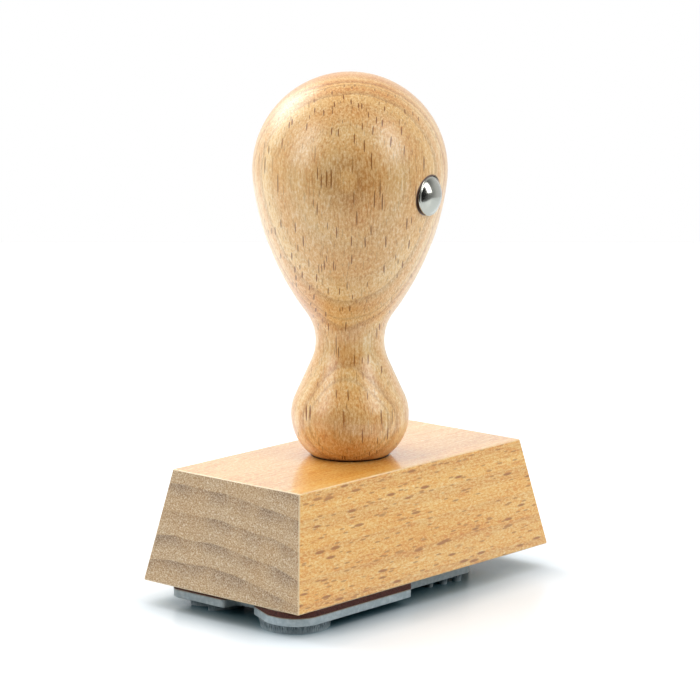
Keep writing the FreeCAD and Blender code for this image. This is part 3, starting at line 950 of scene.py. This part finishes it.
# %% [markdown]
# ### The cushion
#
# The cushion is cellular rubber, so its cut edge shows open cells as small pits, and it
# bulges a little between the glued faces. The wall is divided finely enough for real
# pits, and the finer cells are left to the material.

# %% Cushion
CUSHION_STEP = 0.22 * MM
CUSHION_LEVELS = 9
CELL_SIZE = 0.42
PIT_DEPTH = 0.26 * MM
CUSHION_BULGE = 0.06 * MM


def cushion_reach(point, height, share, step):
    """How far the cut edge stands out: a low bulge, with pits where cells are cut open."""
    place = Vector((point.x, point.y, height)) / (CELL_SIZE * MM)
    cell = mathutils.noise.noise(place) + 0.5 * mathutils.noise.noise(place * 2.3)
    pit = max(0.0, cell - 0.08) * PIT_DEPTH * sin(pi * share) ** 0.5
    return CUSHION_BULGE * sin(pi * share) - pit


cushion_levels = [
    CUSHION_LOW.z + (CUSHION_HIGH.z - CUSHION_LOW.z) * step / (CUSHION_LEVELS - 1)
    for step in range(CUSHION_LEVELS)
]
cushion_edge = evenly_spaced(die_outline, CUSHION_STEP)
cushion = put_in_scene(
    "cushion", banked_sheet("cushion", cushion_edge, cushion_levels, cushion_reach)
)
foam, foam_tree, foam_shader = new_material("cellular_rubber")
foam_place = in_mm(foam_tree)
cells = wire(foam_tree, "ShaderNodeTexVoronoi", {"Vector": foam_place}, Scale=4.2)
grit = noise(foam_tree, foam_place, 9.0, 3.0, 0.7)
OPEN_CELL = (0.006, 0.002, 0.001, 1)
CELL_WALL = (0.055, 0.010, 0.005, 1)
DUSTY_WALL = (0.16, 0.045, 0.02, 1)
foam_colour = blended(foam_tree, ramped(foam_tree, cells, 0.12, 0.5), OPEN_CELL, CELL_WALL)
grit_share = ramped(foam_tree, grit, 0.45, 0.75, 0.0, 0.6)
foam_colour = blended(foam_tree, grit_share, foam_colour, DUSTY_WALL)
foam_relief = wire(
    foam_tree,
    "ShaderNodeBump",
    {"Height": reckon(foam_tree, "ADD", cells, reckon(foam_tree, "MULTIPLY", grit, 0.4))},
    Strength=0.8,
    Distance=0.12 * MM,
)
foam_tree.links.new(foam_colour, foam_shader.inputs["Base Color"])
foam_tree.links.new(foam_relief, foam_shader.inputs["Normal"])
foam_shader.inputs["Roughness"].default_value = 0.85
cushion.data.materials.append(foam)
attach(cushion, "root")
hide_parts("cushion_pad")
print("cushion triangles:", sum(len(face.vertices) - 2 for face in cushion.data.polygons))

# %% [markdown]
# ### The films
#
# The two adhesive films show only as hair lines, so they need no more than a plain,
# slightly cloudy amber.

# %% Films
film, film_tree, film_shader = new_material("adhesive_film")
film_colour = blended(
    film_tree,
    noise(film_tree, in_mm(film_tree), 0.8, 2.0),
    (0.16, 0.115, 0.075, 1),
    (0.30, 0.23, 0.15, 1),
)
film_tree.links.new(film_colour, film_shader.inputs["Base Color"])
film_shader.inputs["Roughness"].default_value = 0.4
for name in ("upper_adhesive", "lower_adhesive"):
    nodes[name].material_slots[0].material = film
print("films: upper_adhesive, lower_adhesive")

# %% [markdown]
# ### The rubber
#
# The rubber is one sheet. A laser burns the background away and leaves the pattern
# standing, and it leaves sloping shoulders under every shape, so that fine lines don't
# bend when they are pressed. The shoulders of the flower's ring are ribbed, because the
# beam steps round the curve. Each shape is a small closed hill on the base: its printing
# face is flat at the bottom, and its foot is a little wider than its face.

# %% Rubber base
RUBBER_STEP = 0.30 * MM
BASE_TOP = RUBBER_HIGH.z
RELIEF = 1.4 * MM
EDGE_BREAK = 0.10 * MM
CUT_WAVE = 0.035 * MM


def base_reach(point, height, share, step):
    """A cut edge: slightly wavy from the blade, with its two corners broken."""
    wave = CUT_WAVE * mathutils.noise.noise(Vector((point.x, point.y, 0)) / (0.9 * MM))
    return wave - (EDGE_BREAK if share in (0.0, 1.0) else 0.0)


base_levels = [
    RELIEF,
    RELIEF + EDGE_BREAK,
    (RELIEF + BASE_TOP) / 2,
    BASE_TOP - EDGE_BREAK,
    BASE_TOP,
]
rubber_base = banked_sheet(
    "rubber_base", evenly_spaced(die_outline, RUBBER_STEP), base_levels, base_reach
)
print("base levels in mm:", [round(level / MM, 2) for level in base_levels])

# %% [markdown]
# ### Shapes of the pattern
#
# A leaf, a petal, a dot and the stem are all outlines that become hills on the base. Many
# small closed hills in one mesh are easier to make, and as good to print with, as one
# surface cut by all of them.

# %% Shapes of the pattern
SHOULDER = 0.30 * MM
RIB_PITCH = 0.40 * MM
RIB_HEIGHT = 0.05 * MM
FOOT = RELIEF + 0.05 * MM
SHOULDER_LEVELS = (0.0, 0.25 * MM, 0.7 * MM, 1.05 * MM, FOOT)
SHAPE_STEP = 0.12 * MM


def hill(name, outline):
    """A raised shape: a flat printing face at height 0 and a ribbed shoulder up to its foot."""

    def shoulder_reach(point, height, share, step):
        rib = RIB_HEIGHT * cos(2 * pi * step * SHAPE_STEP / RIB_PITCH)
        return SHOULDER * share**1.5 + rib * share

    return banked_sheet(
        name, evenly_spaced(outline, SHAPE_STEP), SHOULDER_LEVELS, shoulder_reach
    )


def lens_points(length, width):
    """A leaf: two arcs that meet in a point at each end, lying along +X from the origin."""
    bow = ((length / 2) ** 2 + (width / 2) ** 2) / width
    spread = asin(length / 2 / bow)
    points = []
    for side in (-1, 1):
        for step in range(24):
            turn = spread * (2 * step / 24 - 1)
            x = length / 2 + bow * sin(turn) * -side
            y = side * (bow * cos(turn) - bow + width / 2)
            points.append(Vector((x, y)))
    return points


def circle_points(radius, count=48):
    return [
        Vector((radius * cos(2 * pi * step / count), radius * sin(2 * pi * step / count)))
        for step in range(count)
    ]


# %% Flower ring and its ribs
FLOWER = Vector((-25.4, -10.7)) * MM
RING_OUTER = 5.5 * MM
RING_INNER = 4.5 * MM
RING_POINTS = 120
RIB_WIDTH = 0.20 * MM
RIB_STAND = 0.09 * MM
# A rib starts inside the shoulder, and its ends stay clear of the sheet's two faces.
RIB_ROOT = 0.1 * MM
RIB_START = 0.06 * MM


def shoulder(height):
    """How far a shape's wall stands out from its printing face at a height."""
    return SHOULDER * (height / FOOT) ** 1.5


def flower_ring():
    """The ring round the flower, with a shoulder outside and inside."""
    wall = [(RING_OUTER + shoulder(height), height) for height in SHOULDER_LEVELS]
    wall += [(RING_INNER - shoulder(height), height) for height in reversed(SHOULDER_LEVELS)]
    ring = bmesh.new()
    turns = [2 * pi * step / RING_POINTS for step in range(RING_POINTS)]
    rows = [
        [
            ring.verts.new((FLOWER.x + radius * cos(turn), FLOWER.y + radius * sin(turn), height))
            for turn in turns
        ]
        for radius, height in wall
    ]
    for row, following in zip(rows, rows[1:] + rows[:1]):
        for step in range(RING_POINTS):
            after = (step + 1) % RING_POINTS
            ring.faces.new((row[step], row[after], following[after], following[step]))
    return finished(ring, "flower_ring")


def rib():
    """One rib: a slim bead down a shoulder, lying along +X from the ring's edge."""
    bead = bmesh.new()
    rows = []
    for height in SHOULDER_LEVELS:
        height = min(max(height, RIB_START), RELIEF)
        out = shoulder(height)
        root = out - RIB_ROOT
        section = ((root, -RIB_WIDTH / 2), (out + RIB_STAND, 0), (root, RIB_WIDTH / 2))
        rows.append([bead.verts.new((x, y, height)) for x, y in section])
    for row, following in zip(rows, rows[1:]):
        for step in range(3):
            after = (step + 1) % 3
            bead.faces.new((row[step], row[after], following[after], following[step]))
    bead.faces.new(rows[0][::-1])
    bead.faces.new(rows[-1])
    return finished(bead, "rib")


# %% [markdown]
# ### Repeating a shape
#
# Petals go round a circle, ribs go round the ring, and leaves follow the curve of the
# stem. All three are copies at even steps along an arc, so one Geometry Nodes tree makes
# them. Its instances are made real at the end, because an export drops instances.

# %% Spreading a shape along an arc


def spreading_tree():
    """Copies of a shape at even steps along an arc, turned with it and shortened at its ends."""
    tree = bpy.data.node_groups.new("spread_along_arc", "GeometryNodeTree")
    sockets = {
        "Shape": "NodeSocketGeometry",
        "Count": "NodeSocketInt",
        "Centre": "NodeSocketVector",
        "Radius": "NodeSocketFloat",
        "First Angle": "NodeSocketFloat",
        "Last Angle": "NodeSocketFloat",
        "Lead In": "NodeSocketFloat",
        "Turn": "NodeSocketFloat",
        "Shortening": "NodeSocketFloat",
        "Material": "NodeSocketMaterial",
    }
    for name, kind in sockets.items():
        tree.interface.new_socket(name=name, in_out="INPUT", socket_type=kind)
    tree.interface.new_socket(name="Shapes", in_out="OUTPUT", socket_type="NodeSocketGeometry")
    given = tree.nodes.new("NodeGroupInput").outputs
    count = given["Count"]
    steps = reckon(tree, "ADD", wire(tree, "GeometryNodeInputIndex"), given["Lead In"])
    share = reckon(tree, "DIVIDE", steps, count)
    sweep = reckon(tree, "SUBTRACT", given["Last Angle"], given["First Angle"])
    angle = reckon(tree, "MULTIPLY_ADD", sweep, share, given["First Angle"])
    spoke = wire(
        tree,
        "ShaderNodeCombineXYZ",
        {
            "X": reckon(tree, "MULTIPLY", reckon(tree, "COSINE", angle), given["Radius"]),
            "Y": reckon(tree, "MULTIPLY", reckon(tree, "SINE", angle), given["Radius"]),
        },
    )
    place = wire(tree, "ShaderNodeVectorMath", {0: spoke, 1: given["Centre"]}, operation="ADD")
    points = wire(tree, "GeometryNodeMeshLine", {"Count": count})
    points = wire(tree, "GeometryNodeSetPosition", {"Geometry": points, "Position": place})
    from_middle = reckon(tree, "MULTIPLY_ADD", share, 2.0, -1.0)
    squared = reckon(tree, "MULTIPLY", from_middle, from_middle)
    lost = reckon(tree, "MULTIPLY", squared, given["Shortening"])
    length = reckon(tree, "SUBTRACT", 1.0, lost)
    turned = wire(
        tree, "ShaderNodeCombineXYZ", {"Z": reckon(tree, "ADD", angle, given["Turn"])}
    )
    stretched = wire(tree, "ShaderNodeCombineXYZ", {"X": length}, Y=1.0, Z=1.0)
    copies = wire(
        tree,
        "GeometryNodeInstanceOnPoints",
        {
            "Points": points,
            "Instance": given["Shape"],
            "Rotation": turned,
            "Scale": stretched,
        },
    )
    solid = wire(tree, "GeometryNodeRealizeInstances", {"Geometry": copies})
    painted = wire(
        tree, "GeometryNodeSetMaterial", {"Geometry": solid, "Material": given["Material"]}
    )
    tree.links.new(painted, tree.nodes.new("NodeGroupOutput").inputs["Shapes"])
    return tree


spread_along_arc = spreading_tree()


def spread(name, shape, sizes):
    """The tree's result on a shape, as a plain mesh."""
    carrier = put_in_scene(name, shape)
    modifier = carrier.modifiers.new(name, "NODES")
    modifier.node_group = spread_along_arc
    for item in spread_along_arc.interface.items_tree:
        if item.in_out == "INPUT" and item.name in sizes:
            modifier[item.identifier] = sizes[item.name]
    bpy.context.view_layer.update()
    seen_by = bpy.context.evaluated_depsgraph_get()
    mesh = bpy.data.meshes.new_from_object(carrier.evaluated_get(seen_by))
    carrier.modifiers.remove(modifier)
    bpy.data.objects.remove(carrier)
    print(name, "faces:", len(mesh.polygons))
    return mesh


# %% [markdown]
# ### Finish of the rubber
#
# Stamp rubber is a dull blue-grey. The colour reads the height above the printing face, so the soot sits
# where the beam burnt and the face itself stays clean. The soot is darker than char alone: it is partly
# painted shade for the shoulders and burnt floor, which lie in shadow under the block.

# %% Rubber material
rubber, rubber_tree, rubber_shader = new_material("stamp_rubber")
rubber_place = in_mm(rubber_tree)
rubber_height = add(rubber_tree, "ShaderNodeSeparateXYZ", {"Vector": rubber_place}).outputs["Z"]
dust = noise(rubber_tree, rubber_place, 1.1, 3.0, 0.6)
streak = noise(rubber_tree, scaled(rubber_tree, rubber_place, (1, 1, 0.12)), 5.0, 2.0)
rubber_colour = blended(
    rubber_tree, ramped(rubber_tree, dust, 0.35, 0.7), (0.28, 0.34, 0.365, 1), (0.40, 0.46, 0.48, 1)
)
# The laser leaves soot on the shoulders and the burnt floor, but not above the floor. The same band is
# painted darker still, as shade for these recessed faces.
SOOT_AND_SHADE_START, SOOT_AND_SHADE_FULL = 0.05, 0.9
SOOT_AND_SHADE_STOP, SOOT_AND_SHADE_GONE = 1.42, 1.47
burnt_and_shaded = reckon(
    rubber_tree,
    "MULTIPLY",
    ramped(rubber_tree, rubber_height, SOOT_AND_SHADE_START, SOOT_AND_SHADE_FULL),
    ramped(rubber_tree, rubber_height, SOOT_AND_SHADE_STOP, SOOT_AND_SHADE_GONE, 1.0, 0.0),
)
soot_and_shade = reckon(rubber_tree, "MULTIPLY", burnt_and_shaded, ramped(rubber_tree, streak, 0.3, 0.7, 0.25, 0.85))
# Soot and painted shade in one dark colour.
rubber_colour = blended(rubber_tree, soot_and_shade, rubber_colour, (0.045, 0.065, 0.075, 1))
rubber_relief = wire(
    rubber_tree,
    "ShaderNodeBump",
    {"Height": reckon(rubber_tree, "ADD", dust, streak)},
    Strength=0.5,
    Distance=0.04 * MM,
)
rubber_tree.links.new(rubber_colour, rubber_shader.inputs["Base Color"])
rubber_tree.links.new(rubber_relief, rubber_shader.inputs["Normal"])
rubber_shader.inputs["Roughness"].default_value = 0.5

# %% [markdown]
# ### Laying out the pattern
#
# The flower sits in the rounded lobe at the corner. The sprig grows from it along a wide
# arc, with leaves on both sides that shorten towards its ends.

# %% The pattern
WHOLE_TURN = 2 * pi
PETALS = 8
PETAL_ROOT, PETAL_TIP, PETAL_WIDTH = 1.5 * MM, 3.9 * MM, 1.2 * MM
FLOWER_EYE = 0.9 * MM
STEM_CENTRE = Vector((24.7, -74.3)) * MM
STEM_RADIUS = 78.3 * MM
STEM_HALF_WIDTH = 0.6 * MM
STEM_LEFT, STEM_RIGHT = radians(123), radians(91)
LEAF_PAIRS = 7
LEAF_LEAN = radians(48)
LEAF_LENGTH, LEAF_WIDTH, LEAF_TAPER, LEAF_GAP = 7.4 * MM, 2.5 * MM, 0.32, 0.5 * MM
LEAF_LEAD_IN = 0.6
CORNER_SPRIG = Vector((-20.6, 3.4)) * MM
CORNER_TIPS = ((-28.2, 5.8), (-27.4, 10.4), (-21.2, 11.6))
CORNER_LEAF_WIDTH = 2.2 * MM
CORNER_LEAF_START = 0.18
FRONT_DOTS = ((13.6, -11.9, 0.7), (10.4, -11.6, 0.6), (7.4, -11.2, 0.5))


def at_angle(centre, radius, angle):
    return centre + Vector((cos(angle), sin(angle))) * radius


def stem_points():
    """The stem: a band between two arcs, from its right end along the outside and back."""
    points = []
    for radius, sweep in (
        (STEM_RADIUS + STEM_HALF_WIDTH, (STEM_RIGHT, STEM_LEFT)),
        (STEM_RADIUS - STEM_HALF_WIDTH, (STEM_LEFT, STEM_RIGHT)),
    ):
        start, end = sweep
        for step in range(61):
            points.append(at_angle(STEM_CENTRE, radius, start + (end - start) * step / 60))
    return points


def moved(points, place, angle=0.0):
    turn = Matrix.Rotation(angle, 2)
    return [turn @ point + place for point in points]


def corner_leaf(tip):
    tip = Vector(tip) * MM
    root = CORNER_SPRIG.lerp(tip, CORNER_LEAF_START)
    along = tip - root
    leaf = lens_points(along.length, CORNER_LEAF_WIDTH)
    return moved(leaf, root, atan2(along.y, along.x))


single_shapes = [stem_points(), moved(circle_points(FLOWER_EYE), FLOWER)]
single_shapes += [corner_leaf(tip) for tip in CORNER_TIPS]
single_shapes += [
    moved(circle_points(radius * MM), Vector((x, y)) * MM) for x, y, radius in FRONT_DOTS
]
die_parts = [rubber_base, flower_ring()]
die_parts += [hill("shape", shape) for shape in single_shapes]

round_flower = {"Centre": (*FLOWER, 0), "First Angle": 0.0, "Last Angle": WHOLE_TURN}
petal = hill("petal", lens_points(PETAL_TIP - PETAL_ROOT, PETAL_WIDTH))
die_parts.append(
    spread("petals", petal, {**round_flower, "Count": PETALS, "Radius": PETAL_ROOT, "Material": rubber})
)
rib_count = round(WHOLE_TURN * RING_OUTER / RIB_PITCH)
die_parts.append(
    spread("ribs", rib(), {**round_flower, "Count": rib_count, "Radius": RING_OUTER, "Material": rubber})
)
for side in (1, -1):
    row = {
        "Centre": (*STEM_CENTRE, 0),
        "Count": LEAF_PAIRS,
        "Radius": STEM_RADIUS + side * (STEM_HALF_WIDTH + LEAF_GAP),
        "First Angle": STEM_LEFT,
        "Last Angle": STEM_RIGHT,
        "Lead In": LEAF_LEAD_IN,
        "Turn": side * LEAF_LEAN - pi / 2,
        "Shortening": LEAF_TAPER,
        "Material": rubber,
    }
    die_parts.append(spread("leaves", hill("leaf", lens_points(LEAF_LENGTH, LEAF_WIDTH)), row))

# %% The whole rubber


def joined(name, meshes):
    whole = bmesh.new()
    for mesh in meshes:
        whole.from_mesh(mesh)
    mesh = bpy.data.meshes.new(name)
    whole.to_mesh(mesh)
    whole.free()
    return mesh


die = put_in_scene("rubber_pattern", joined("rubber_pattern", die_parts))
die.data.materials.append(rubber)
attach(die, "root")
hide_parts("rubber_die")
print("rubber triangles:", sum(len(face.vertices) - 2 for face in die.data.polygons))
